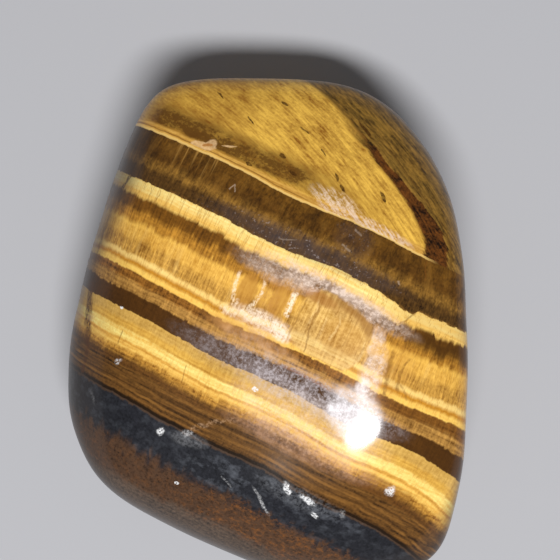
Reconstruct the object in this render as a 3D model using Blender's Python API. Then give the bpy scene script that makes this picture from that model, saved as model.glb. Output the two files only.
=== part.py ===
"""A polished tiger's eye: one tumbled stone, lying on its flattest side.

Run it with: blender --background --python part.py
Units are metres, +Z is up, and +Y runs along the stone. The origin is on the surface
that the stone lies on, under the middle of its box.

Tumbling rubs slightly domed flats on a broken lump of rock, and rounds the edges
between them. So the shape is worked out from its flats, and each one is given by the way
that it faces, how far it lies from the heart of the stone, and how domed it is.
"""
import math

import bmesh
import bpy
from mathutils import Vector

# Driving dimensions, in metres.
WIDTH = 0.0253           # along X
LENGTH = 0.0320          # along Y
THICKNESS = 0.0160       # along Z, from the flat base to the crown
HEART_HEIGHT = 0.00785   # from the flat base up to the heart

# The flats are patches of large spheres, and these are their radii.
FLANK_DOME = 0.150
TABLE_DOME = 0.200
SLOPE_DOME = 0.060

# How tight the rounding between two flats is: the higher, the sharper the edge.
EDGE_CRISPNESS = 20
# An icosphere of 5120 triangles, about 1 mm each, is rubbed to shape.
SPHERE_SUBDIVISIONS = 5
# Points nearer than this to the base plane, or to each other, are made one.
MERGE_DISTANCE = 0.00002

# The flats: name, the way it faces seen from above (degrees from +X towards +Y), how
# far it looks up (degrees over the horizon), its distance from the heart, and its dome.
FLATS = [
    # round the girth
    ("head", 89, 6, 0.0163, FLANK_DOME),
    ("head_right", 57, 4, 0.0171, FLANK_DOME),
    ("right_shoulder", 31, 2, 0.0148, FLANK_DOME),
    ("right_flank", 1, -4, 0.0121, FLANK_DOME),
    ("right_foot", -22, 0, 0.0164, FLANK_DOME),
    ("foot_corner", -54, 0, 0.0216, FLANK_DOME),
    ("foot", -95, 4, 0.0162, FLANK_DOME),
    ("foot_left", 244, 10, 0.0139, FLANK_DOME),
    ("left_corner", 208, 6, 0.0144, FLANK_DOME),
    ("left_flank", 181, 8, 0.0131, FLANK_DOME),
    ("left_shoulder", 164, 10, 0.0121, FLANK_DOME),
    ("head_left", 134, 8, 0.0168, FLANK_DOME),
    # on the crown
    ("table", 184, 78, 0.0073, TABLE_DOME),
    ("head_slope", 86, 68, 0.0096, SLOPE_DOME),
    ("head_right_slope", 45, 58, 0.0119, SLOPE_DOME),
    ("right_slope", 2, 68, 0.0109, SLOPE_DOME),
    ("foot_right_slope", -62, 60, 0.0124, SLOPE_DOME),
    ("foot_left_slope", 243, 58, 0.0108, SLOPE_DOME),
    ("left_slope", 174, 50, 0.0097, SLOPE_DOME),
    # underneath
    ("base", -90, -90, 0.0081, SLOPE_DOME),
    ("head_under", 90, -50, 0.0122, SLOPE_DOME),
    ("right_under", 10, -48, 0.0112, SLOPE_DOME),
    ("foot_under", -80, -48, 0.0126, SLOPE_DOME),
    ("foot_left_under", 235, -45, 0.0116, SLOPE_DOME),
    ("left_under", 165, -46, 0.0109, SLOPE_DOME),
]


def clear_scene():
    """Take every object out of the scene."""
    for old in list(bpy.data.objects):
        bpy.data.objects.remove(old, do_unlink=True)


def facing(around, up):
    """The unit vector that looks `around` degrees from +X and `up` over the horizon."""
    around, up = math.radians(around), math.radians(up)
    level = math.cos(up)
    return Vector((level * math.cos(around), level * math.sin(around), math.sin(up)))


def ray_length(direction, normal, distance, dome):
    """How far a ray from the heart goes until it meets a flat.

    The flat is a sphere of radius `dome` whose nearest point to its plane's foot lies
    `distance` from the heart, so its centre is (dome - distance) behind the heart.
    """
    behind = dome - distance
    cosine = direction.dot(normal)
    return math.sqrt(dome ** 2 - behind ** 2 * (1.0 - cosine ** 2)) - behind * cosine


def reach(direction, flats):
    """How far the skin lies from the heart along a direction.

    The inverse of a ray's length is largest for the flat that cuts it first. A power sum
    of the inverses of all the flats is a soft maximum, which rounds the edges.
    """
    total = sum(ray_length(direction, *flat) ** -EDGE_CRISPNESS for flat in flats)
    return total ** (-1.0 / EDGE_CRISPNESS)


def rub_to_shape(bm):
    """Spread a sphere's points over the stone's proportions, then move each one along
    its ray from the heart until it lies on the skin."""
    flats = [(facing(around, up), distance, dome) for _, around, up, distance, dome in FLATS]
    heart = Vector((0.0, 0.0, HEART_HEIGHT))
    proportions = Vector((WIDTH, LENGTH, THICKNESS))
    for point in bm.verts:
        direction = (point.co * proportions).normalized()
        point.co = heart + direction * reach(direction, flats)


def cut_base(bm):
    """Cut the stone flat at Z = 0, close the cut with one face, and level its rim."""
    everything = bm.verts[:] + bm.edges[:] + bm.faces[:]
    bmesh.ops.bisect_plane(bm, geom=everything, dist=MERGE_DISTANCE,
                           plane_co=(0.0, 0.0, 0.0), plane_no=(0.0, 0.0, -1.0),
                           clear_outer=True)
    bmesh.ops.remove_doubles(bm, verts=bm.verts[:], dist=MERGE_DISTANCE)
    rim = [edge for edge in bm.edges if edge.is_boundary]
    for edge in rim:
        for point in edge.verts:
            point.co.z = 0.0
    bmesh.ops.holes_fill(bm, edges=rim)
    bmesh.ops.recalc_face_normals(bm, faces=bm.faces[:])


def fit_box(bm):
    """Bring the box to its exact size, with the origin under its middle."""
    low = Vector([min(point.co[axis] for point in bm.verts) for axis in range(3)])
    high = Vector([max(point.co[axis] for point in bm.verts) for axis in range(3)])
    middle = Vector(((low.x + high.x) / 2, (low.y + high.y) / 2, low.z))
    size = high - low
    scale = Vector((WIDTH / size.x, LENGTH / size.y, THICKNESS / size.z))
    for point in bm.verts:
        point.co = (point.co - middle) * scale


def polished_stone():
    """Golden brown silica with a polish like glass."""
    material = bpy.data.materials.new("polished_tigers_eye")
    material.use_nodes = True
    shader = material.node_tree.nodes["Principled BSDF"]
    shader.inputs["Base Color"].default_value = (0.30, 0.16, 0.045, 1.0)
    shader.inputs["Roughness"].default_value = 0.14
    shader.inputs["Metallic"].default_value = 0.0
    return material


def make_stone(collection):
    """The one solid, shaded smooth but for the rim of its flat base."""
    bm = bmesh.new()
    bmesh.ops.create_icosphere(bm, subdivisions=SPHERE_SUBDIVISIONS, radius=1.0)
    rub_to_shape(bm)
    cut_base(bm)
    fit_box(bm)
    mesh = bpy.data.meshes.new("tigers_eye_stone")
    bm.to_mesh(mesh)
    bm.free()
    mesh.shade_smooth()
    mesh.set_sharp_from_angle(angle=math.radians(30))
    mesh.materials.append(polished_stone())
    stone = bpy.data.objects.new("tigers_eye_stone", mesh)
    collection.objects.link(stone)
    return stone


def main():
    clear_scene()
    collection = bpy.data.collections.new("polished_tigers_eye")
    bpy.context.scene.collection.children.link(collection)
    make_stone(collection)


main()
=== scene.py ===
"""A polished tiger's eye: one tumbled stone, 32 mm long, seen from straight above.

The stone is brown silica with golden fibres that stand across its bands, so the bands
run one way and the silk in them runs the other. +Y is its narrower head, +Z is up.
"""
import math

import bpy
import numpy as np
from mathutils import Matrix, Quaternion, Vector


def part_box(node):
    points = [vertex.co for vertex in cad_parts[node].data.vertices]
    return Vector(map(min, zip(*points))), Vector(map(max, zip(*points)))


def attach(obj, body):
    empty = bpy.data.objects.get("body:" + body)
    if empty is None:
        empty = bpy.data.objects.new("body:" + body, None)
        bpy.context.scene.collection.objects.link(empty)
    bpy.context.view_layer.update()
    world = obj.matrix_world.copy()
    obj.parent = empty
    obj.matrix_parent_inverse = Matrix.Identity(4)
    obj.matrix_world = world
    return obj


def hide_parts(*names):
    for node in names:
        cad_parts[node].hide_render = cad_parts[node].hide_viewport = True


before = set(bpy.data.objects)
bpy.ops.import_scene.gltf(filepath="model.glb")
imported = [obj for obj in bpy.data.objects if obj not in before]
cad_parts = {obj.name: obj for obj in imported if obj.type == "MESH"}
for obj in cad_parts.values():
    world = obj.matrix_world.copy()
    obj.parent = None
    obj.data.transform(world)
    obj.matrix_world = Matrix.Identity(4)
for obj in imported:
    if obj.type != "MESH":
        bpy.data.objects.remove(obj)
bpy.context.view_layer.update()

# ---------------------------------------------------------------------------
# The studio: a plain pale floor, one soft oval lamp above the stone and a little beyond its
# foot, and dim light from all round. The camera looks straight down on the stone's crown.
# ---------------------------------------------------------------------------
MM = 0.001
scene = bpy.context.scene
scene.view_settings.view_transform = "Standard"

GIRTH_HEIGHT = 7.85 * MM   # where the stone is widest, level with its heart
VIEW_CENTRE = (1.07 * MM, 3.14 * MM)
VIEW_HEIGHT = 110.0 * MM   # from the girth up to the camera
VIEW_WIDTH = 35.84 * MM    # how much the camera takes in, level with the girth
SENSOR_WIDTH = 36.0
NEAREST_SEEN = 5.0 * MM

camera_data = bpy.data.cameras.new("camera")
camera_data.sensor_width = SENSOR_WIDTH
camera_data.lens = SENSOR_WIDTH * VIEW_HEIGHT / VIEW_WIDTH
camera_data.clip_start = NEAREST_SEEN
camera = bpy.data.objects.new("camera", camera_data)
camera.location = (*VIEW_CENTRE, GIRTH_HEIGHT + VIEW_HEIGHT)
scene.collection.objects.link(camera)
scene.camera = camera

FLOOR_SIDE = 3.0
FLOOR_COLOUR = (0.42, 0.42, 0.44, 1.0)
FLOOR_ROUGHNESS = 0.9


def make_floor():
    """A flat square under the stone, in matt grey card."""
    half = FLOOR_SIDE / 2.0
    corners = [(-half, -half, 0.0), (half, -half, 0.0), (half, half, 0.0), (-half, half, 0.0)]
    mesh = bpy.data.meshes.new("floor")
    mesh.from_pydata(corners, [], [(0, 1, 2, 3)])
    card = bpy.data.materials.new("floor_card")
    card.use_nodes = True
    shader = card.node_tree.nodes["Principled BSDF"]
    shader.inputs["Base Color"].default_value = FLOOR_COLOUR
    shader.inputs["Roughness"].default_value = FLOOR_ROUGHNESS
    mesh.materials.append(card)
    floor = bpy.data.objects.new("floor", mesh)
    scene.collection.objects.link(floor)


make_floor()

LAMP_AIM = (5.4 * MM, -5.4 * MM, 15.7 * MM)   # a place on the crown, near the right foot
LAMP_LEAN = (1.3, -18.5)      # from straight above it, degrees towards +X and towards +Y
LAMP_DISTANCE = 0.35
LAMP_SIDES = (0.165, 0.057)   # its width and its depth
LAMP_SPIN = -13.0             # how far it is turned about its own middle, degrees
LAMP_WATTS = 1.55


def make_lamp():
    """An oval soft lamp, LAMP_DISTANCE from its aim. The way from the aim to it is the
    vector (tan of its lean along X, tan of its lean along Y, 1), made unit long."""
    data = bpy.data.lights.new("key_lamp", "AREA")
    data.shape = "ELLIPSE"
    data.size, data.size_y = LAMP_SIDES
    data.energy = LAMP_WATTS
    way = np.array([*(math.tan(math.radians(lean)) for lean in LAMP_LEAN), 1.0])
    way /= np.linalg.norm(way)
    lamp = bpy.data.objects.new("key_lamp", data)
    lamp.location = np.array(LAMP_AIM) + way * LAMP_DISTANCE
    spun = Quaternion((0.0, 0.0, 1.0), math.radians(LAMP_SPIN))
    lamp.rotation_euler = (Vector(way).to_track_quat("Z", "Y") @ spun).to_euler()
    scene.collection.objects.link(lamp)


make_lamp()

SKY_COLOUR = (0.93, 0.95, 1.0, 1.0)
SKY_STRENGTH = 0.15

world = bpy.data.worlds.new("studio")
world.use_nodes = True
sky = world.node_tree.nodes["Background"]
sky.inputs["Color"].default_value = SKY_COLOUR
sky.inputs["Strength"].default_value = SKY_STRENGTH
scene.world = world

# ---------------------------------------------------------------------------
# The stone: a broken lump of silica, banded with golden fibre and with one blue-black
# layer, rubbed round in a tumbler and polished like glass. Its skin is an even grid wrapped
# round the long axis, pushed out to the flats that the tumbling left, and then chipped.
# ---------------------------------------------------------------------------
STONE = "tigers_eye_stone"
EDGE_CRISPNESS = 20   # the higher, the sharper the edges between the flats
FLANK_DOME = 150.0 * MM
TABLE_DOME = 200.0 * MM
SLOPE_DOME = 60.0 * MM

# Each flat: the way it faces (degrees round from +X), how far it looks up (degrees), its
# distance from the heart in mm, and the radius of its slight dome.
FLATS = {
    "head": (89, 6, 16.3, FLANK_DOME),
    "head_right": (57, 4, 17.1, FLANK_DOME),
    "right_shoulder": (31, 2, 14.8, FLANK_DOME),
    "right_flank": (1, -4, 12.1, FLANK_DOME),
    "right_foot": (-22, 0, 16.4, FLANK_DOME),
    "foot_corner": (-54, 0, 21.6, FLANK_DOME),
    "foot": (-95, 4, 16.2, FLANK_DOME),
    "foot_left": (244, 10, 13.9, FLANK_DOME),
    "left_corner": (208, 6, 14.4, FLANK_DOME),
    "left_flank": (181, 8, 13.1, FLANK_DOME),
    "left_shoulder": (164, 10, 12.1, FLANK_DOME),
    "head_left": (134, 8, 16.8, FLANK_DOME),
    "table": (184, 78, 7.3, TABLE_DOME),
    "head_slope": (86, 68, 9.6, SLOPE_DOME),
    "head_right_slope": (45, 58, 11.9, SLOPE_DOME),
    "right_slope": (2, 68, 10.9, SLOPE_DOME),
    "foot_right_slope": (-62, 60, 12.4, SLOPE_DOME),
    "foot_left_slope": (243, 58, 10.8, SLOPE_DOME),
    "left_slope": (174, 50, 9.7, SLOPE_DOME),
    "base": (-90, -90, 8.1, SLOPE_DOME),
    "head_under": (90, -50, 12.2, SLOPE_DOME),
    "right_under": (10, -48, 11.2, SLOPE_DOME),
    "foot_under": (-80, -48, 12.6, SLOPE_DOME),
    "foot_left_under": (235, -45, 11.6, SLOPE_DOME),
    "left_under": (165, -46, 10.9, SLOPE_DOME),
}
COLUMNS = 400           # of the grid, round the long axis
ROWS = 236              # from the foot to the head
CROWN_CROWDING = 0.28   # how much closer the columns are over the crown


def egg_directions():
    """Ways out from the heart, one for each point of the grid.

    Rows go from straight down the foot (-Y) to straight up the head (+Y), columns go
    round from underneath. The ways are the points of an egg with the stone's own
    proportions, made unit long, so that the grid is about as fine everywhere. A column's
    turn t becomes t + CROWN_CROWDING * sin(t), which crowds the columns over the crown.
    """
    lowest, highest = (np.array(corner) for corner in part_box(STONE))
    half = (highest - lowest) / 2.0
    turn = np.linspace(0.0, 2.0 * np.pi, COLUMNS, endpoint=False)
    turn = turn + CROWN_CROWDING * np.sin(turn)
    fall = np.linspace(0.0, np.pi, ROWS)
    turn, fall = np.meshgrid(turn, fall)
    ways = np.stack([-half[0] * np.sin(fall) * np.sin(turn),
                     -half[1] * np.cos(fall),
                     -half[2] * np.sin(fall) * np.cos(turn)], axis=-1)
    return ways / np.linalg.norm(ways, axis=-1, keepdims=True)


def reach(ways):
    """How far the skin lies from the heart each way.

    Each flat is a large sphere, and a ray meets it after
    sqrt(dome^2 - behind^2 (1 - cosine^2)) - behind * cosine, where `behind` is how far
    the sphere's centre lies behind the heart and `cosine` is that of the angle between
    the ray and the flat's facing. The skin is a power mean of the inverses of these
    lengths, which follows the nearest flat and rounds the edges between two.
    """
    total = np.zeros(ways.shape[:-1])
    for around, up, distance, dome in FLATS.values():
        around, up, distance = math.radians(around), math.radians(up), distance * MM
        facing = np.array([math.cos(up) * math.cos(around),
                           math.cos(up) * math.sin(around), math.sin(up)])
        behind = dome - distance
        cosine = ways @ facing
        length = np.sqrt(dome ** 2 - behind ** 2 * (1.0 - cosine ** 2)) - behind * cosine
        total += length ** -EDGE_CRISPNESS
    return total ** (-1.0 / EDGE_CRISPNESS)


def outward(skin):
    """Unit normals of the grid: the cross product of its steps round and along."""
    round_step = np.roll(skin, -1, axis=1) - np.roll(skin, 1, axis=1)
    along_step = np.gradient(skin, axis=0)
    normal = np.cross(along_step, round_step)
    normal[0] = normal[-1] = 0.0
    normal[0, :, 1], normal[-1, :, 1] = -1.0, 1.0
    return normal / np.linalg.norm(normal, axis=-1, keepdims=True)


# The bands run 25 degrees down to the right. Places on the stone are given in mm in the
# bands' own frame: along them to the right, and across them towards the head.
BAND_TURN = math.radians(25.0)


def in_bands(x, y):
    """Turns a place from the stone's frame (m) to (along, across) in the bands' (mm)."""
    x, y = (x - VIEW_CENTRE[0]) / MM, (y - VIEW_CENTRE[1]) / MM
    return (x * math.cos(BAND_TURN) - y * math.sin(BAND_TURN),
            x * math.sin(BAND_TURN) + y * math.cos(BAND_TURN))


SWELL_WAVES = 22
SWELL_LENGTHS = (2.5, 7.0)   # the shortest and the longest, mm
SWELL_STEEPNESS = 0.0011     # a wave's height over its length
SWELL_SEED = 8


def swell(skin):
    """The slow waves that tumbling leaves in a polish: a sum of sine waves, each with its
    own random length, direction and start, a few thousandths of a mm high."""
    draw = np.random.default_rng(SWELL_SEED)
    height = np.zeros(skin.shape[:-1])
    for _ in range(SWELL_WAVES):
        length = draw.uniform(*SWELL_LENGTHS) * MM
        way = draw.normal(size=3)
        way *= 2.0 * np.pi / length / np.linalg.norm(way)
        start = draw.uniform(0.0, 2.0 * np.pi)
        height += SWELL_STEEPNESS * length * np.sin(skin @ way + start)
    return height


# The crown is rubbed to a low swelling near its right foot: where (mm along and across),
# its spread each way (mm), and its height.
KNOLL_AT = (5.1, -9.0)
KNOLL_SPREAD = (2.3, 1.4)
KNOLL_HEIGHT = 0.155 * MM


def knoll(skin):
    """The swelling as a bell, height * exp(-(a^2 + c^2) / 2), with a and c in spreads."""
    along, across = in_bands(skin[..., 0], skin[..., 1])
    off = (((along - KNOLL_AT[0]) / KNOLL_SPREAD[0]) ** 2
           + ((across - KNOLL_AT[1]) / KNOLL_SPREAD[1]) ** 2)
    return np.where(skin[..., 2] > GIRTH_HEIGHT, KNOLL_HEIGHT * np.exp(-off / 2.0), 0.0)


# Chips and pits in the crown: along, across, half-length, half-width (mm), the way the
# length points (degrees from the bands), and depth (mm).
CHIPS = [
    (-2.7, -11.4, 0.26, 0.20, 60, 0.10),
    (-1.2, -10.8, 0.30, 0.18, 20, 0.05),
    (5.7, -11.2, 0.40, 0.16, -40, 0.09),
    (7.1, -11.3, 0.50, 0.18, -12, 0.08),
    (7.9, -12.0, 0.24, 0.14, 0, 0.10),
    (11.4, -8.7, 0.30, 0.24, 70, 0.10),
    (-6.9, -8.7, 0.22, 0.13, 50, 0.06),
    (-7.5, -11.5, 0.45, 0.12, -50, 0.02),
    (4.6, -12.6, 0.85, 0.09, -38, 0.05),
    (9.4, -11.2, 0.16, 0.30, 10, 0.03),
]


def pits(skin):
    """How deep each chip goes, as a round-bottomed bowl: depth * (1 - r^2)^2 inside the
    chip's ellipse, where r runs from 0 at its middle to 1 at its lip."""
    along, across = in_bands(skin[..., 0], skin[..., 1])
    depth = np.zeros(along.shape)
    for centre_along, centre_across, half_length, half_width, way, deep in CHIPS:
        way = math.radians(way)
        da, dc = along - centre_along, across - centre_across
        forward = (da * math.cos(way) + dc * math.sin(way)) / half_length
        sideways = (dc * math.cos(way) - da * math.sin(way)) / half_width
        inside = np.clip(1.0 - forward ** 2 - sideways ** 2, 0.0, 1.0)
        depth = np.maximum(depth, deep * MM * inside ** 2)
    return np.where(skin[..., 2] > GIRTH_HEIGHT, depth, 0.0)


def fit_box(skin):
    """Cuts the skin off level at the base plane, and brings its box to the CAD node's."""
    skin[..., 2] = np.maximum(skin[..., 2], 0.0)
    lowest, highest = (np.array(corner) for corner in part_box(STONE))
    flat = skin.reshape(-1, 3)
    share = (skin - flat.min(axis=0)) / np.ptp(flat, axis=0)
    return lowest + share * (highest - lowest)


def make_stone():
    """The grid as a closed mesh: quads between the rows, a fan of triangles at each end."""
    ways = egg_directions()
    skin = ways * reach(ways)[..., None] + np.array([0.0, 0.0, GIRTH_HEIGHT])
    skin = fit_box(skin)
    skin += outward(skin) * (swell(skin) + knoll(skin) - pits(skin))[..., None]
    skin = fit_box(skin)
    ring = np.arange(COLUMNS)
    after = (ring + 1) % COLUMNS
    foot, head = 0, 1 + (ROWS - 2) * COLUMNS
    rows = [1 + row * COLUMNS for row in range(ROWS - 2)]
    points = np.concatenate([skin[0, :1], skin[1:-1].reshape(-1, 3), skin[-1, :1]])
    faces = [(foot, rows[0] + int(b), rows[0] + int(a)) for a, b in zip(ring, after)]
    for row, upper in zip(rows[:-1], rows[1:]):
        faces += np.stack([row + ring, row + after, upper + after, upper + ring], axis=1).tolist()
    faces += [(head, rows[-1] + int(a), rows[-1] + int(b)) for a, b in zip(ring, after)]
    mesh = bpy.data.meshes.new("tumbled_stone")
    mesh.from_pydata(points.tolist(), [], faces)
    mesh.shade_smooth()
    stone = bpy.data.objects.new("tumbled_stone", mesh)
    scene.collection.objects.link(stone)
    return stone


stone = make_stone()

# What the stone is made of: bands of golden fibre in silica, from cream to coffee brown, one
# blue-black band where the fibre never rusted, and a rusty crust under it.
finish = bpy.data.materials.new("polished_tigers_eye")
finish.use_nodes = True
tree = finish.node_tree
polish = tree.nodes["Principled BSDF"]


class Measure:
    """A number that each point of the stone has, such as how far across the bands it lies.
    It is a node's output, and sums written with it add the Math nodes that do them."""

    def __init__(self, output):
        self.output = output

    def __add__(self, other):
        return sum_of("ADD", self, other)

    def __sub__(self, other):
        return sum_of("SUBTRACT", self, other)

    def __rsub__(self, other):
        return sum_of("SUBTRACT", other, self)

    def __mul__(self, other):
        return sum_of("MULTIPLY", self, other)

    def __truediv__(self, other):
        return sum_of("DIVIDE", self, other)

    __radd__ = __add__
    __rmul__ = __mul__


def plug(value, socket):
    """Links a measure or an output to a socket, or writes a plain number there."""
    if isinstance(value, Measure):
        value = value.output
    if isinstance(value, bpy.types.NodeSocket):
        tree.links.new(value, socket)
    else:
        socket.default_value = value


def sum_of(operation, *terms):
    """One Math node on measures or plain numbers."""
    node = tree.nodes.new("ShaderNodeMath")
    node.operation = operation
    for term, socket in zip(terms, node.inputs):
        plug(term, socket)
    return Measure(node.outputs[0])


def rise(measure, start, end):
    """0 before `start`, 1 past `end`, and a smooth step between. It falls if start > end."""
    node = tree.nodes.new("ShaderNodeMapRange")
    node.interpolation_type = "SMOOTHSTEP"
    node.clamp = False   # a smooth step already stays between 0 and 1
    for value, name in ((measure, "Value"), (start, "From Min"), (end, "From Max")):
        plug(value, node.inputs[name])
    return Measure(node.outputs["Result"])


def clamped(measure):
    """The measure held between 0 and 1."""
    node = tree.nodes.new("ShaderNodeClamp")
    plug(measure, node.inputs["Value"])
    return Measure(node.outputs["Result"])


def larger(*measures):
    """The largest of some measures, at each point."""
    top = measures[0]
    for other in measures[1:]:
        top = sum_of("MAXIMUM", top, other)
    return top


def between(measure, low, high, soft):
    """1 from `low` to `high`, with edges `soft` wide."""
    return (rise(measure, low - soft / 2, low + soft / 2)
            * rise(measure, high + soft / 2, high - soft / 2))


def split_up(vector, kind="ShaderNodeSeparateXYZ"):
    """The three parts of a vector or a colour, as measures."""
    node = tree.nodes.new(kind)
    tree.links.new(vector, node.inputs[0])
    return [Measure(output) for output in node.outputs]


def place_of(*parts):
    """A vector made of three measures."""
    node = tree.nodes.new("ShaderNodeCombineXYZ")
    for value, socket in zip(parts, node.inputs):
        plug(value, socket)
    return node.outputs[0]


def colour(red, green, blue):
    """A colour given as it shows on a screen, 0 to 255, made linear."""
    parts = [part / 255.0 for part in (red, green, blue)]
    parts = [part / 12.92 if part <= 0.04045 else ((part + 0.055) / 1.055) ** 2.4
             for part in parts]
    return (*parts, 1.0)


def mixed(under, over, share):
    """The colour `over` laid on the colour `under`, as thickly as the measure `share`."""
    node = tree.nodes.new("ShaderNodeMix")
    node.data_type = "RGBA"
    plug(share, node.inputs["Factor"])
    plug(under, node.inputs["A"])
    plug(over, node.inputs["B"])
    return node.outputs["Result"]


def painted(under, over, share):
    """The same, with `over` given as it shows on a screen."""
    return mixed(under, colour(*over), share)


# Where each point is: mm in the bands' frame, from the point under the camera.
where = tree.nodes.new("ShaderNodeTexCoord")
turned = tree.nodes.new("ShaderNodeMapping")
turned.inputs["Scale"].default_value = (1.0 / MM, 1.0 / MM, 1.0 / MM)
turned.inputs["Rotation"].default_value = (0.0, 0.0, BAND_TURN)
turned.inputs["Location"].default_value = (*in_bands(0.0, 0.0), 0.0)
tree.links.new(where.outputs["Object"], turned.inputs["Vector"])
along, across, up = split_up(turned.outputs[0])


def scaled(vector, stretch, seed=0.0):
    """The place stretched unequally, and moved so that each pattern has its own part."""
    node = tree.nodes.new("ShaderNodeMapping")
    node.inputs["Scale"].default_value = stretch
    node.inputs["Location"].default_value = (seed, seed * 1.7, seed * 0.6)
    tree.links.new(vector, node.inputs["Vector"])
    return node.outputs[0]


NOISE_SPREAD = 3.2   # brings most of the noise, which keeps near 0.5, to between -1 and 1


def mottle(stretch, source=turned.outputs[0], detail=2.0, roughness=0.5, seed=0.0):
    """Clouds between about -1 and 1. `stretch` is how many of them fit in a mm along the
    bands, across them and upwards, so unequal numbers make streaks."""
    place = scaled(source, stretch, seed)
    noise = tree.nodes.new("ShaderNodeTexNoise")
    noise.inputs["Scale"].default_value = 1.0
    noise.inputs["Detail"].default_value = detail
    noise.inputs["Roughness"].default_value = roughness
    tree.links.new(place, noise.inputs["Vector"])
    return (Measure(noise.outputs["Fac"]) - 0.5) * NOISE_SPREAD


def bundles(stretch, seed=0.0):
    """Cells with a random number each, from -1 to 1, like bundles of fibre cut across."""
    place = scaled(turned.outputs[0], stretch, seed)
    cells = tree.nodes.new("ShaderNodeTexVoronoi")
    cells.inputs["Scale"].default_value = 1.0
    tree.links.new(place, cells.inputs["Vector"])
    return split_up(cells.outputs["Color"], "ShaderNodeSeparateColor")[0] * 2.0 - 1.0


# Streaks that the patterns are made of. Fibres stand across the bands and layers lie along
# them. The fibres end in bundles, whose teeth fray the bands' edges.
fibre_fine = mottle((8.0, 0.40, 8.0), detail=3.0, roughness=0.6, seed=3.0)
fibre_broad = mottle((2.2, 0.20, 2.2), seed=11.0)
fibre = fibre_fine * 0.8 + fibre_broad * 0.35
layer = mottle((0.06, 3.6, 0.14), detail=4.0, roughness=0.75, seed=21.0)
speckle = mottle((5.5, 5.5, 5.5), detail=3.0, roughness=0.65, seed=31.0)
cloud = mottle((0.45, 0.8, 0.45), detail=3.0, seed=41.0)
tooth = (bundles((2.6, 0.06, 2.6), seed=51.0) * 0.55
         + mottle((3.0, 0.15, 3.0), detail=3.0, seed=52.0) * 0.6)

# The bands aren't quite straight. They roll by a tenth of a mm each way, but lie level at
# the left end.
ROLL = 0.12
ROLL_LENGTH = 10.0
ROLL_FROM = -6.5
ROLL_SHIFT = 1.5
roll_turn = (larger(along, ROLL_FROM) + ROLL_SHIFT) * (2.0 * math.pi / ROLL_LENGTH)
roll = sum_of("COSINE", roll_turn) * ROLL

# Nearer the foot they sag to the right, as parabolas that grow from one band to the next.
sag_reach = larger(along - 4.0, 0.0)
sag = sag_reach * sag_reach * clamped((across + 2.0) * (-1.0 / 9.0)) * 0.0095
last_reach = larger(along - 9.8, 0.0)
sag = sag + last_reach * last_reach * clamped((across + 3.5) * (-1.0 / 3.5)) * 0.006

# They also slope down to the right there, and step up a little past the smoky painted haze.
slope = larger(along, -2.0) * clamped((across + 3.6) * (-1.0 / 2.5)) * 0.024
lift = rise(along, 7.0, 10.5) * clamped((across + 4.8) * -1.0) * 0.25

# The cream band dips to a small slanting fault.
FAULT_STEP = 0.30
near_fault = between(across, 0.3, 2.2, 1.0)
fault_side = along + across * -0.55
dip = rise(along, 4.8, 8.2) * rise(fault_side, 7.30, 7.22) * near_fault * FAULT_STEP
waver = (mottle((0.16, 0.3, 0.1), detail=1.0, seed=61.0) * 0.10
         + mottle((0.8, 0.4, 0.6), detail=3.0, seed=65.0) * 0.06)
level = across + roll + sag + slope + dip + waver - lift

# Growth lines follow the bands, about four to a mm.
GROWTH_SPACING = 0.28
ripple = mottle((0.22, 0.9, 0.3), detail=4.0, roughness=0.6, seed=63.0)
growth = sum_of("SINE", level * (2.0 * math.pi / GROWTH_SPACING) + ripple * 5.5)
layer = layer * 0.85 + growth * clamped(ripple * 0.8 + 0.55) * 0.42

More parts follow.
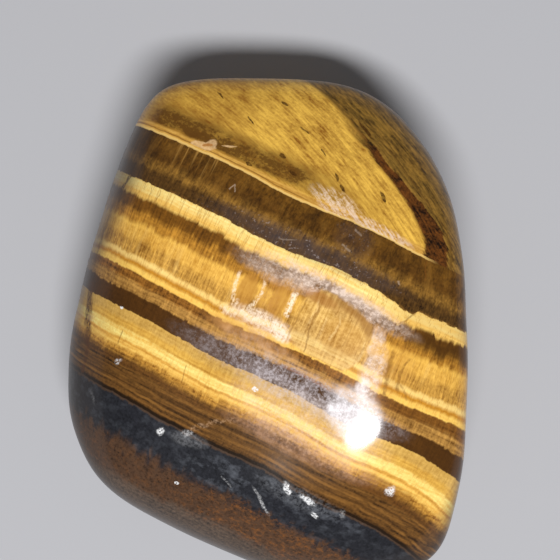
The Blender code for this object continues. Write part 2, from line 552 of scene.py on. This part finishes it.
# The bands from head to foot: where each starts (mm across), how soft that edge is, how
# far the fibres' ends fray it, its deep and bright colours, and how strongly fibres,
# layers and speckles show in it.
BANDS = {
    "upper_brown": (None, 0.0, 0.0, (54, 31, 5), (130, 87, 26), 0.75, 0.12, 0.45),
    "upper_deep": (4.20, 0.50, 0.40, (46, 26, 4), (116, 76, 24), 0.75, 0.10, 0.50),
    "upper_bronze": (3.30, 0.42, 0.20, (70, 42, 10), (178, 130, 54), 0.90, 0.15, 0.60),
    "upper_shadow": (2.80, 0.34, 0.18, (34, 19, 6), (108, 74, 30), 0.80, 0.10, 0.55),
    "cream": (1.87, 0.03, 0.06, (232, 180, 84), (255, 236, 154), 0.40, 0.75, 0.45),
    "cream_hem": (1.28, 0.08, 0.03, (214, 158, 64), (255, 214, 118), 0.45, 0.60, 0.40),
    "middle_brown": (0.95, 0.16, 0.16, (62, 36, 6), (134, 86, 24), 0.80, 0.25, 0.45),
    "honey_fringe": (0.12, 0.26, 0.30, (104, 62, 12), (212, 150, 54), 0.95, 0.20, 0.40),
    "golden_line": (-0.62, 0.22, 0.24, (206, 146, 50), (255, 206, 98), 0.40, 0.20, 0.20),
    "gold_silk": (-0.92, 0.14, 0.12, (180, 122, 34), (255, 202, 96), 0.80, 0.15, 0.35),
    "gold_dashes": (-1.66, 0.26, 0.30, (112, 66, 10), (238, 182, 84), 0.95, 0.15, 0.40),
    "pale_line": (-2.54, 0.12, 0.12, (226, 172, 82), (255, 226, 142), 0.35, 0.25, 0.20),
    "orange_gold": (-2.88, 0.14, 0.07, (150, 92, 10), (216, 150, 46), 0.30, 0.60, 0.40),
    "pale_hem": (-3.15, 0.13, 0.07, (228, 168, 72), (255, 216, 110), 0.30, 0.45, 0.40),
    "liver_brown": (-3.50, 0.06, 0.08, (66, 34, 4), (170, 112, 42), 0.65, 0.60, 0.60),
    "bronze_streak": (-4.02, 0.14, 0.14, (96, 60, 18), (204, 152, 76), 0.60, 0.60, 0.55),
    "darkest": (-4.66, 0.08, 0.12, (44, 24, 4), (92, 56, 16), 0.40, 0.10, 0.35),
    "olive_gold": (-5.80, 0.04, 0.06, (156, 112, 40), (232, 188, 100), 0.45, 0.30, 0.40),
    "honey_gold": (-6.42, 0.16, 0.10, (172, 118, 34), (238, 190, 88), 0.35, 0.60, 0.40),
    "bright_gold": (-6.92, 0.10, 0.06, (220, 160, 56), (255, 238, 146), 0.20, 0.65, 0.40),
    "tawny_line": (-7.50, 0.07, 0.04, (166, 108, 32), (240, 184, 84), 0.20, 0.80, 0.45),
    "second_gold": (-7.68, 0.08, 0.04, (206, 142, 46), (255, 216, 116), 0.20, 0.60, 0.35),
    "amber": (-8.02, 0.16, 0.11, (110, 64, 12), (230, 170, 72), 0.40, 0.60, 0.75),
    "sepia": (-8.42, 0.28, 0.13, (50, 29, 8), (122, 80, 34), 0.30, 0.60, 0.60),
    "ledger": (-8.95, 0.14, 0.05, (32, 17, 5), (122, 82, 36), 0.12, 1.00, 0.55),
    "black_line": (-10.52, 0.07, 0.04, (16, 8, 2), (42, 26, 10), 0.10, 0.20, 0.30),
    "brown_line": (-10.74, 0.04, 0.03, (50, 34, 24), (86, 66, 50), 0.10, 0.20, 0.40),
    "hawks_eye": (-10.86, 0.06, 0.10, (12, 12, 14), (46, 47, 53), 0.15, 0.15, 0.65),
    "rust": (-13.20, 0.45, 0.60, (36, 25, 18), (100, 72, 52), 0.15, 0.15, 0.95),
    "crust": (-15.30, 0.40, 0.40, (30, 24, 20), (104, 84, 68), 0.15, 0.35, 0.95),
}


def lay_bands():
    """Lays each band over the one above it, from its own edge downwards. Returns the deep
    and the bright colour, and the weights of fibre, layer and speckle."""
    deep = bright = traits = None
    for start, soft, fray, dark, light, *weights in BANDS.values():
        own = (*weights, 1.0)
        if start is None:
            deep, bright, traits = colour(*dark), colour(*light), own
            continue
        edge = rise(level + tooth * fray, start + soft, start - soft)
        deep = mixed(deep, colour(*dark), edge)
        bright = mixed(bright, colour(*light), edge)
        traits = mixed(traits, own, edge)
    return deep, bright, traits


deep, bright, traits = lay_bands()
fibre_share, layer_share, speckle_share = split_up(traits, "ShaderNodeSeparateColor")
tone = fibre * fibre_share + layer * layer_share + speckle * speckle_share + cloud * 0.20
body = mixed(deep, bright, clamped(tone * 0.62 + 0.5))

# Broad strands of the fibre stand out, paler or darker than the rest of their band.
strand = mottle((1.3, 0.10, 1.3), detail=3.0, roughness=0.6, seed=111.0)
blotch = mottle((0.9, 1.6, 0.9), detail=3.0, roughness=0.6, seed=83.0)
in_brown = between(level, 2.95, 4.90, 0.4)
pale_strands = clamped(strand * 1.5 + blotch * 0.4 - 0.12) * in_brown
body = painted(body, (150, 106, 42), pale_strands * 0.54)
dark_strands = clamped(strand * -1.4 - blotch * 0.6 - 0.05) * in_brown
body = painted(body, (36, 20, 6), dark_strands * 0.62)
in_dashes = between(level, -2.5, -0.7, 0.3)
dashes = clamped(strand * 1.1 - 0.20) * in_dashes
body = painted(body, (255, 216, 132), dashes * 0.45)

# The amber band is browner near its right end.
in_amber = between(level, -8.9, -7.9, 0.3) * rise(along, 8.4, 10.2) * rise(along, 13.4, 12.0)
in_amber = in_amber * clamped(blotch * 0.8 + speckle * 0.5 + 0.55)
body = painted(body, (104, 62, 20), in_amber * 0.60)

# The pale bands are cracked across, as thin as hairs.
hair = sum_of("ABSOLUTE", mottle((2.6, 0.20, 2.6), detail=3.0, roughness=0.6, seed=57.0))
in_pale = larger(between(level, 0.9, 1.95, 0.2), between(level, -3.4, -0.5, 0.3) * 0.8,
                 between(level, -8.1, -6.0, 0.4) * 0.5)
body = painted(body, (150, 98, 38), rise(hair, 0.09, 0.0) * in_pale * 0.42)

# The cream is browner where it nears the right flank.
stale = between(level, 1.2, 1.92, 0.2) * rise(along, 5.0, 8.5)
stale = stale * clamped(fibre_fine * 0.4 + layer * 0.3 + speckle * 0.3 + 0.55)
body = painted(body, (208, 152, 66), stale * 0.50)

# Marks are laid on the bands in a frame that a fine noise shakes, so their edges are ragged.
SHAKE = 0.30
shake_place = scaled(turned.outputs[0], (1.7, 1.7, 1.7), 71.0)
shake = tree.nodes.new("ShaderNodeTexNoise")
shake.inputs["Scale"].default_value = 1.0
tree.links.new(shake_place, shake.inputs["Vector"])
shake_along, shake_across, _ = split_up(shake.outputs["Color"], "ShaderNodeSeparateColor")
ragged_along = along + (shake_along - 0.5) * SHAKE
ragged_across = across + (shake_across - 0.5) * SHAKE
crown = rise(up, 3.0, 7.0)


def seen_from(centre, way, length, width):
    """How far forward and sideways of a mark's centre each point lies, when the mark
    points `way` degrees from the bands, as shares of the mark's length and width."""
    east, north = math.cos(math.radians(way)), math.sin(math.radians(way))
    ahead = -(centre[0] * east + centre[1] * north) / length
    aside = -(centre[1] * east - centre[0] * north) / width
    forward = sum_of("MULTIPLY_ADD", ragged_across, north / length, ahead)
    forward = sum_of("MULTIPLY_ADD", ragged_along, east / length, forward)
    sideways = sum_of("MULTIPLY_ADD", ragged_along, -north / width, aside)
    sideways = sum_of("MULTIPLY_ADD", ragged_across, east / width, sideways)
    return forward, sideways


def spot(centre_along, centre_across, half_length, half_width, way=0.0, soft=0.4, strength=1.0):
    """`strength` inside an ellipse and 0 outside it. It fades between 1 - soft / 2 and
    1 + soft / 2 of the ellipse's half-sizes."""
    centre = (centre_along, centre_across)
    forward, sideways = seen_from(centre, way, half_length, half_width)
    reach_squared = sum_of("MULTIPLY_ADD", sideways, sideways, forward * forward)
    mark = rise(reach_squared, (1.0 + soft / 2) ** 2, (1.0 - soft / 2) ** 2)
    return mark if strength == 1.0 else mark * strength


def crack(start, end, bow, width, strength=1.0):
    """A line from start to end that bows to its left by `bow` mm at its middle, as a
    parabola, and fades at both ends. `width` is half of what it covers."""
    span = (end[0] - start[0], end[1] - start[1])
    middle = ((start[0] + end[0]) / 2.0, (start[1] + end[1]) / 2.0)
    way = math.degrees(math.atan2(span[1], span[0]))
    forward, sideways = seen_from(middle, way, math.hypot(*span) / 2.0, 1.0)
    spent = forward * forward
    off = sum_of("ABSOLUTE", sum_of("MULTIPLY_ADD", spent, bow, sideways - bow))
    mark = rise(off, width, width * 0.3) * rise(spent, 1.0, 0.55)
    return mark if strength == 1.0 else mark * strength


def marked(cracks=(), spots=()):
    """The strongest, at each point, of a list of cracks and a list of spots. Each is written
    as the numbers that `crack` or `spot` takes, in mm and degrees."""
    return larger(*[crack(*one) for one in cracks], *[spot(*one) for one in spots])


def dappled(change, middle):
    """Clouded by the speckles: `middle` and about `change` up and down, from 0 to 1."""
    return clamped(speckle * change + middle)


# The eye: a lens of clear amber in the gold silk. It is an ellipse with squared ends, since
# its reach is the fourth power of the way along it and the square of the way across it.
EYE_CENTRE, EYE_WAY, EYE_LENGTH, EYE_WIDTH = (3.95, -1.50), -13, 2.42, 1.95
in_silk = between(level, -3.42, 0.55, 0.10)
eye_ahead, eye_aside = seen_from(EYE_CENTRE, EYE_WAY, EYE_LENGTH, EYE_WIDTH)
eye_ahead = eye_ahead * eye_ahead
eye_reach = eye_ahead * eye_ahead + eye_aside * eye_aside
eye = rise(eye_reach, 1.20, 0.88) * rise(along, 1.2, 2.5) * in_silk * crown
ribs = mottle((2.6, 0.14, 0.5), detail=3.0, roughness=0.6, seed=73.0)
amber_tone = ribs * 0.60 + fibre_fine * 0.40 + speckle * 0.50 + blotch * 0.35
amber = mixed(colour(152, 102, 34), colour(240, 196, 118), clamped(amber_tone + 0.55))
amber_pale = between(across, -3.4, -2.25, 0.40) * clamped(layer * 0.7 + 0.35)
amber = painted(amber, (240, 204, 134), amber_pale)
body = mixed(body, amber, eye * 0.75)

# It is brown at its upper rim and in its middle, and broken fibres cross it.
LENS_ARCS = [((2.62, 0.00), (2.55, -1.90), 0.12, 0.10, 0.7),
             ((3.45, -0.75), (3.40, -2.90), 0.10, 0.10, 0.6),
             ((4.20, -0.40), (4.10, -2.10), 0.16, 0.12),
             ((6.12, -1.10), (6.10, -2.90), 0.10, 0.10, 0.7),
             ((3.90, -2.80), (5.40, -2.72), 0.05, 0.10, 0.6)]
LENS_SHADOWS = [((2.80, -0.30), (2.72, -2.10), 0.06, 0.09),
                ((5.00, -0.60), (4.95, -2.30), 0.08, 0.08, 0.5)]
eye_rim = between(eye_reach, 0.60, 1.06, 0.32) * rise(across, -1.7, -0.3) * rise(along, 2.6, 4.4)
eye_rim = eye_rim * in_silk * crown * clamped(speckle * 0.6 + ribs * 0.5 + 0.75)
body = painted(body, (136, 82, 24), eye_rim * 0.70)
eye_brow = spot(2.6, 0.06, 1.10, 0.32, -6, 0.8) * crown * dappled(0.6, 0.7)
body = painted(body, (158, 98, 34), eye_brow * 0.8)
eye_middle = spot(4.75, -1.60, 1.25, 1.10, -10, 0.25) * in_silk * crown
body = painted(body, (184, 126, 46), eye_middle * 0.30)
lens_arcs = marked(cracks=LENS_ARCS) * crown * clamped(speckle * 0.6 + ribs * 0.4 + 0.6)
body = painted(body, (242, 206, 140), lens_arcs * 0.6)
lens_shadows = marked(cracks=LENS_SHADOWS) * crown * dappled(0.5, 0.8)
body = painted(body, (136, 86, 28), lens_shadows * 0.65)

# Lesser windows lie to its left, with pale arcs and patches between them painted as glints of the
# lamp on the polish.
WINDOWS = [(-1.55, -1.40, 0.55, 1.05, 0, 0.3), (0.45, -1.15, 0.50, 1.00, 0, 0.3)]
GLINT_ARCS = [((-2.35, -0.40), (-1.80, -2.75), -0.20, 0.17, 0.65),
             ((-1.85, -2.00), (-1.75, -3.40), 0.0, 0.15, 0.55),
             ((-0.80, -0.25), (-1.35, -2.80), 0.32, 0.19, 0.75),
             ((1.20, -0.20), (1.25, -1.90), -0.06, 0.26, 1.3)]
GLINT_PATCHES = [(1.10, -2.75, 0.75, 0.36, -20, 1.2, 1.2), (1.42, -2.95, 0.30, 0.24, 0, 1.0, 1.6),
                (-0.2, -2.60, 1.1, 0.40, 0, 1.3, 0.8), (-2.0, -3.0, 0.5, 0.25, 0, 1.2, 0.5)]
windows = marked(spots=WINDOWS) * in_silk * crown
body = painted(body, (184, 128, 52), windows * 0.65)
window_bar = spot(-0.15, -1.20, 0.55, 1.10, 6, 1.0) * dappled(0.8, 0.4) * crown
body = painted(body, (176, 118, 62), window_bar * 0.6)
# Painted glints: pale arcs and patches where the lamp catches the polish.
painted_glints = marked(cracks=GLINT_ARCS, spots=GLINT_PATCHES)
painted_glints = clamped(painted_glints * (fibre_fine * 0.7 + speckle * 1.1 + 0.62)) * crown
body = painted(body, (253, 234, 206), painted_glints * 0.88)

# Cracks and stained joints, which the polish laid bare.
JOINTS = [((2.72, -1.60), (3.10, -3.40), 0.05, 0.08),
          ((1.92, -0.10), (1.86, -3.10), 0.0, 0.07, 0.6),
          ((9.05, -0.90), (9.20, -3.25), -0.28, 0.13),
          ((7.85, -0.80), (8.60, -3.90), -0.05, 0.18),
          ((9.00, -2.60), (9.90, -3.40), 0.10, 0.12, 0.7),
          ((8.30, -3.30), (9.10, -4.30), 0.06, 0.12, 0.7),
          ((8.20, 1.75), (7.40, 0.50), 0.06, 0.09),
          ((7.40, 4.85), (7.95, 3.60), 0.0, 0.06),
          ((-7.45, -6.70), (-7.30, -7.80), 0.0, 0.06),
          ((-9.55, 1.95), (-9.35, 1.0), 0.0, 0.04),
          ((-8.95, 2.0), (-8.85, 1.1), 0.0, 0.04),
          ((-2.95, -6.9), (-2.8, -8.2), 0.0, 0.05)]
joints = marked(cracks=JOINTS)
joint_stain = spot(8.45, -2.20, 0.85, 1.50, -8, 1.2) * crown * dappled(0.8, 0.5)
body = painted(body, (178, 120, 52), joint_stain * 0.45)
joints = joints * crown * dappled(0.5, 0.8)
body = painted(body, (118, 72, 22), joints * 0.62)

# An old break runs down the left end. It healed brown, with bare pale fibre beside it.
OLD_BREAK = [((-11.10, 2.25), (-11.55, 0.50), 0.05, 0.15),
             ((-11.50, 0.90), (-11.00, -4.2), -0.10, 0.12, 0.5),
             ((-10.80, -4.90), (-9.70, -7.90), 0.05, 0.30),
             ((-9.95, -6.80), (-9.05, -9.30), 0.0, 0.26),
             ((-9.20, -8.60), (-8.75, -10.6), 0.0, 0.16)]
BESIDE_BREAK = [(-10.65, -7.25, 0.30, 0.32, 0, 1.0), (-9.72, -7.10, 0.20, 0.22, 0, 1.0, 0.8)]
old_break = marked(cracks=OLD_BREAK) * crown * (speckle * 0.7 + fibre_fine * 0.4 + 0.72)
body = painted(body, (82, 45, 12), clamped(old_break))
beside_break = marked(spots=BESIDE_BREAK) * crown * dappled(0.6, 0.5)
body = painted(body, (250, 206, 150), beside_break * 0.7)

# Painted shade darkens the bands low on the sides, at the left end, upper left and lower right.
painted_rim_shade = larger(rise(up, 12.4, 8.6) * 0.52, rise(along, -9.9, -11.4) * 0.65,
              rise(along, -8.0, -11.0) * rise(across, 4.5, 6.0) * 0.80,
              rise(along, 14.6, 16.2) * rise(across, -4.5, -6.5) * 0.65)
body = painted(body, (42, 31, 22), painted_rim_shade)
# Near the right flank the middle brown reaches lower into the silk.
silk_shadow = between(level + tooth * 0.30, -0.20, 0.85, 0.6) * rise(along, 7.9, 9.4) * crown
body = painted(body, (70, 42, 8), silk_shadow * 0.75)

# The head wedge: above the upper seam the fibres swing round in long arcs. Places in it are
# the distance from the arcs' centre, and the way round it in mm.
ARC_CENTRE = (-20.0, -33.0)
ARC_LENGTH = 46.0   # mm of an arc to a radian, about where the wedge lies
out_along, out_across = along - ARC_CENTRE[0], across - ARC_CENTRE[1]
radius = sum_of("SQRT", out_along * out_along + out_across * out_across)
swing = sum_of("ARCTAN2", out_along, out_across) * ARC_LENGTH
arc_place = place_of(radius, swing, up)
arc_fine = mottle((7.0, 0.70, 2.0), source=arc_place, detail=3.0, roughness=0.6, seed=5.0)
arc_broad = mottle((1.6, 0.25, 0.7), source=arc_place, detail=2.0, seed=15.0)
wedge_tone = arc_fine * 0.42 + arc_broad * 0.26 + speckle * 0.22 + cloud * 0.12
wedge = mixed(colour(140, 84, 18), colour(255, 203, 86), clamped(wedge_tone * 1.15 + 0.60))

# It is stained near its lower left edge, and a hem of plainer gold runs along the edge.
old_stain = (rise(across, 7.5, 6.2) * rise(across, 5.3, 5.8)
             * rise(along, 5.0, -4.0) * rise(along, -12.5, -10.8))
# Painted shade: the wedge darkens towards its left end, away from the lamp.
wedge = painted(wedge, (150, 98, 32), rise(along, -3.5, -8.5) * 0.35)
old_stain = clamped(old_stain * (1.02 + arc_fine * 0.32 + speckle * 0.55 + blotch * 0.60))
wedge = painted(wedge, (90, 54, 13), old_stain * 0.92)
hem = rise(level + blotch * 0.10, 5.62, 5.34)
hem_tone = clamped(layer * 0.8 + speckle * 0.2 + 0.5)
hem_gold = mixed(colour(172, 116, 36), colour(240, 188, 92), hem_tone)
wedge = mixed(wedge, hem_gold, hem)

# One brown seam runs with the arcs, and bends and widens towards the edge. The stone
# outside it is dark, with one darker line in it. Each pair is where an edge starts and ends
# its soft step, in mm from the arcs' centre, and the line's pair is its two sides.
SEAM_INNER = (47.50, 47.70)
SEAM_OUTER = (48.18, 48.06)
OUTER_START = (47.90, 48.14)
OUTER_LINE = (48.66, 48.76)
bend = larger(7.6 - across, 0.0)
bent = radius + bend * bend * 0.12 + arc_fine * 0.12 + speckle * 0.08 + cloud * 0.14
widening = rise(across, 9.5, 6.6) * 0.40
seam = rise(bent, *SEAM_INNER) * rise(bent - widening, *SEAM_OUTER) * rise(along, -1.6, 2.0)
seam_tone = clamped(arc_fine * 0.5 + speckle * 0.55 + blotch * 0.7 + 0.38)
outer_tone = clamped(arc_fine * 0.8 + speckle * 0.3 + blotch * 0.3 + 0.5)
outer = mixed(colour(46, 32, 12), colour(150, 110, 44), outer_tone)
wedge = mixed(wedge, outer, rise(bent - widening, *OUTER_START) * 0.92)
outer_line = between(bent, *OUTER_LINE, 0.06) * rise(along, 1.6, 2.6)
wedge = painted(wedge, (82, 52, 16), outer_line * 0.5)
seam_brown = mixed(colour(30, 14, 3), colour(124, 72, 24), seam_tone)
wedge = mixed(wedge, seam_brown, seam)

# The wedge ends in a sharp edge, with a pale line on it and a brown one just above.
WEDGE_START = (4.97, 5.01)
in_wedge = rise(level + tooth * 0.03, *WEDGE_START)
body = mixed(body, wedge, in_wedge)
pale_edge = between(level + tooth * 0.03, 4.93, 5.07, 0.05) * rise(along, 8.4, 7.0)
body = painted(body, (244, 202, 118), pale_edge * 0.85)
brown_edge = between(level + tooth * 0.02, 5.16, 5.24, 0.06) * rise(along, 0.5, -1.5)
body = painted(body, (124, 78, 24), brown_edge * 0.65)

# Brown flecks lie in it, with a scar of bare fibre at the left and frosted streaks at the
# lower edge.
FLECKS = [(-5.8, 8.2, 0.32, 0.06, -30), (-2.5, 9.0, 0.36, 0.07, -10), (-4.4, 10.1, 0.26, 0.08, -5),
          (-3.1, 6.95, 0.22, 0.14, -20), (0.5, 7.1, 0.26, 0.09, -42), (3.55, 7.2, 0.40, 0.11, -42),
          (-4.7, 5.6, 0.18, 0.10, 0), (1.1, 6.6, 0.28, 0.10, -40), (-2.0, 6.2, 0.30, 0.12, -20),
          (0.9, 10.65, 0.75, 0.10, -28), (-8.2, 8.9, 0.3, 0.06, -25), (-0.9, 8.2, 0.24, 0.05, -28)]
SCAR = [(-7.72, 5.50, 0.80, 0.22, 10, 0.25), (-7.35, 5.70, 0.34, 0.42, -30, 0.3),
        (-6.25, 6.10, 0.42, 0.07, 22)]
FROST = [(1.2, 5.60, 1.60, 0.62, -8, 0.8), (3.6, 5.30, 2.4, 0.30, -3, 0.9)]
flecks = marked(spots=FLECKS) * crown * (speckle * 0.6 + 0.75)
body = painted(body, (70, 40, 6), clamped(flecks))
scar = marked(spots=SCAR) * crown * dappled(0.5, 0.70)
body = painted(body, (238, 196, 142), scar)
scar_middle = spot(-7.50, 5.62, 0.34, 0.11, 24) * crown
body = painted(body, (176, 112, 44), scar_middle * 0.8)
frost_streaks = clamped(arc_fine * 1.2 + speckle * 0.8 + 0.42)
frost = marked(spots=FROST) * frost_streaks * in_wedge * crown
body = painted(body, (247, 220, 198), frost * 0.76)

# Pale loose fibres hang from the wedge's edge into the brown under it, and a few ticks of
# silver fibre lie further down.
HANGING_FROM, HANGING_TO = -9.1, -5.7
TICKS = [((-5.10, 3.60), (-4.88, 4.15), 0.0, 0.06), ((-4.90, 4.15), (-4.70, 3.65), 0.0, 0.06),
         ((-1.20, 2.20), (-0.10, 2.62), 0.0, 0.06), ((2.75, 4.65), (3.35, 4.45), 0.05, 0.10),
         ((2.40, 3.50), (3.10, 3.35), 0.0, 0.10), ((6.45, 2.95), (6.60, 2.65), 0.0, 0.09)]
hanging = (between(along, HANGING_FROM, HANGING_TO, 1.2)
           * rise(level, 2.7, 4.9) * rise(level, 5.0, 4.92))
threads = rise(mottle((3.6, 0.04, 0.4), detail=2.0, seed=91.0), 0.05, 0.60)
body = painted(body, (186, 140, 70), hanging * threads * crown * 0.70)
ticks = marked(cracks=TICKS) * crown * dappled(0.4, 0.6)
body = painted(body, (190, 168, 146), ticks * 0.7)

# The hawk's eye is smeared with grey, and its rusty edge is freckled with orange.
SMEARS = [(2.0, -12.0, 2.2, 0.8, 10, 1.2), (7.3, -11.4, 3.2, 0.8, 0, 1.2)]
in_hawk = between(level, -13.1, -10.8, 0.3)
smear = clamped(mottle((1.3, 1.7, 1.3), detail=5.0, roughness=0.62, seed=95.0) * 1.3 + 0.05)
smear = smear * (0.26 + marked(spots=SMEARS) * 0.55)
body = painted(body, (116, 120, 128), smear * in_hawk * 0.62)
in_rust = between(level, -15.4, -13.1, 0.7)
freckles = rise(mottle((2.6, 3.4, 2.6), detail=4.0, roughness=0.75, seed=97.0), -0.10, 0.75)
freckles = freckles * in_rust * (0.22 + rise(along, -1.0, 3.0) * 0.38)
body = painted(body, (146, 90, 40), freckles)
body = painted(body, (24, 18, 14), rise(speckle, 0.10, 0.80) * in_rust * 0.60)

# The brown above it is ruled with pale and dark growth lines, like a ledger, and a crack in
# it has healed pale.
HEALED = [((-1.2, -10.7), (-0.1, -9.6), 0.05, 0.26), ((-0.5, -9.9), (1.4, -8.7), 0.14, 0.22, 0.8)]
ledger_line = larger(between(level, -9.12, -8.98, 0.10), between(level, -9.64, -9.50, 0.09),
                     between(level, -10.14, -9.98, 0.10))
ledger_line = ledger_line * clamped(layer * 0.5 + blotch * 0.7 + 0.50)
body = painted(body, (164, 114, 52), ledger_line * 0.42)
ledger_gap = larger(between(level, -9.44, -9.30, 0.10), between(level, -9.90, -9.78, 0.08))
ledger_gap = ledger_gap * clamped(speckle * 0.5 - layer * 0.4 + 0.50)
body = painted(body, (44, 24, 7), ledger_gap * 0.42)
healed = clamped(marked(cracks=HEALED) * (speckle * 1.3 + 0.25)) * crown
body = painted(body, (190, 154, 120), healed * 0.55)

# Chips and scores are painted pale, partly for their frosted broken faces and partly as painted
# glints, and bruises lie round them. A chip is whiter the deeper it is, up to a twelfth of a mm.
WHITEST_DEPTH = 1.0 / 12.0
SMALL_CHIPS = [(-8.1, -5.62, 0.14, 0.10), (1.42, -6.55, 0.20, 0.16, 30),
               (-0.45, -13.85, 0.16, 0.10), (2.2, -12.4, 0.5, 0.07, -20, 0.4, 0.4)]
grit = mottle((9.0, 9.0, 9.0), detail=2.0, roughness=0.6, seed=93.0)
chipped = 0.0
for *chip, deep in CHIPS:
    chipped = larger(chipped, spot(*chip, 1.2) * min(1.0, deep / WHITEST_DEPTH))
chipped = larger(chipped, *[spot(*chip) for chip in SMALL_CHIPS])
bruise = spot(-0.9, -11.1, 0.9, 0.35, 10, 1.2) * dappled(0.8, 0.5) * crown
body = painted(body, (128, 128, 130), bruise * 0.6)
bruise = spot(6.6, -11.4, 2.2, 0.50, 0, 1.2) * dappled(0.8, 0.3) * crown
body = painted(body, (120, 122, 126), bruise * 0.6)
# Chips painted pale: frosted faces, with painted glints on them.
chipped = clamped(chipped * chipped * (grit * 1.5 + speckle * 0.8 + 0.75)) * crown
body = painted(body, (236, 236, 236), chipped * 0.90)

# The liver brown and the bronze under it change along their length.
hazy = mottle((1.1, 1.4, 1.1), detail=2.0, seed=99.0)
bronze = between(level, -4.58, -4.02, 0.16) * rise(along, -5.5, 0.5) * rise(along, 9.2, 7.4)
bronze = bronze * crown * clamped(layer * 0.7 + fibre_fine * 0.4 + 0.55)
body = painted(body, (208, 154, 84), bronze * 0.60)
right_brown = between(level, -4.06, -3.5, 0.12) * rise(along, 7.6, 9.0) * crown
body = painted(body, (92, 56, 18), right_brown * 0.45)
# Painted haze: a tan veil of the lamp's sheen on the bronze.
tan_painted_haze = spot(-0.2, -3.85, 2.3, 0.42, 0, 1.2) * clamped(hazy * 0.6 + 0.55) * crown
body = painted(body, (196, 142, 82), tan_painted_haze)
russet = between(level, -4.76, -4.62, 0.10) * between(along, 2.2, 5.4, 1.2) * crown
body = painted(body, (134, 76, 24), russet * 0.7)

# Painted haze: the lamp's sheen on the polish is painted into the colour, dusky with painted
# glints under the cream, smoky in the dark band, milky round the eye and pinkish on the gold, and
# a white painted highlight lies where it glares.
SMOKY_HAZE_SPOTS = [(4.2, -5.30, 4.4, 0.76, 0, 1.4, 0.95), (0.6, -5.42, 3.5, 0.6, -2, 1.6, 0.42)]
DUSKY_HAZE_SPOTS = [(0.6, 2.45, 5.0, 0.55, 0, 1.2, 0.60), (3.0, 4.0, 0.9, 1.0, 60, 1.2, 0.35)]
MILKY_HAZE_SPOTS = [(3.5, 0.66, 4.1, 0.62, -4, 1.0), (6.72, -0.8, 0.36, 1.2, 6, 1.2, 0.8),
        (7.30, -2.8, 0.58, 1.5, 6, 1.1, 1.05), (0.1, 0.44, 2.2, 0.50, 0, 1.7, 0.60),
        (0.2, -2.8, 1.8, 0.55, 0, 1.2, 0.6), (0.6, -4.1, 1.9, 0.4, 0, 1.3, 0.22),
        (5.0, -7.0, 3.8, 1.15, 0, 1.3, 0.45)]
PAINTED_HIGHLIGHT_SPOTS = [(7.45, -5.45, 1.55, 1.25, -30, 0.9, 0.85), (6.25, -5.60, 0.48, 0.42, 0, 0.9),
         (7.15, -4.10, 0.36, 0.75, 4, 1.2, 0.7)]
specks = rise(mottle((5.0, 5.0, 5.0), detail=3.0, roughness=0.7, seed=101.0), -0.35, 0.65)
smoky_haze = marked(spots=SMOKY_HAZE_SPOTS)
dusky_haze = marked(spots=DUSKY_HAZE_SPOTS)
# Painted haze: a dusky grey veil with pale painted glints.
body = painted(body, (76, 66, 66), dusky_haze * crown * clamped(hazy * 0.5 + 0.7))
body = painted(body, (200, 186, 184), dusky_haze * crown * rise(specks, 0.75, 1.0) * 0.50)
# Painted haze, smoky grey in the dark band.
smoky_haze = clamped(smoky_haze * (specks * 0.80 + hazy * 0.42 + 0.28)) * crown
body = painted(body, (188, 178, 180), smoky_haze * 0.84)
# Painted haze, milky round the eye.
milky_haze = marked(spots=MILKY_HAZE_SPOTS)
milky_haze = clamped(milky_haze * (specks * 0.60 + hazy * 0.45 + 0.36)) * (1.0 - eye) * crown
body = painted(body, (238, 214, 196), milky_haze * 0.85)
# Painted haze, pinkish on the gold by the lamp's highlight.
pink_haze = spot(5.6, -8.5, 3.9, 0.62, 0, 1.3) * clamped(specks * 0.60 + hazy * 0.45 + 0.36) * crown
body = painted(body, (212, 166, 134), pink_haze * 0.46)
# A white painted highlight round the lamp's own.
painted_highlight = marked(spots=PAINTED_HIGHLIGHT_SPOTS) * clamped(specks * 0.45 + hazy * 0.25 + 0.65) * crown
body = painted(body, (250, 244, 246), painted_highlight * 0.85)
painted_haze = larger(smoky_haze, milky_haze, painted_highlight)

# The polish is a clear coat, thickest on the crown, over silica that scatters a little.
POLISH = {"Metallic": 0.0, "IOR": 1.54, "Specular IOR Level": 0.06,
          "Coat Roughness": 0.13, "Coat IOR": 1.50}
plug(body, polish.inputs["Base Color"])
for name, value in POLISH.items():
    polish.inputs[name].default_value = value
plug(0.36 + speckle * 0.04 + painted_haze * 0.10, polish.inputs["Roughness"])
plug(0.20 + rise(up, 7.5, 12.5) * 0.32, polish.inputs["Coat Weight"])

# The fibres' ends stand a few thousandths of a mm proud under the polish.
RELIEF_STRENGTH = 0.15
RELIEF_DEPTH = 0.02 * MM
grain = fibre_fine * 0.5 + layer * 0.3 + speckle * 0.5
relief = tree.nodes.new("ShaderNodeBump")
relief.inputs["Strength"].default_value = RELIEF_STRENGTH
relief.inputs["Distance"].default_value = RELIEF_DEPTH
plug(grain, relief.inputs["Height"])
tree.links.new(relief.outputs[0], polish.inputs["Normal"])

stone.data.materials.append(finish)
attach(stone, "root")
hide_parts(STONE)
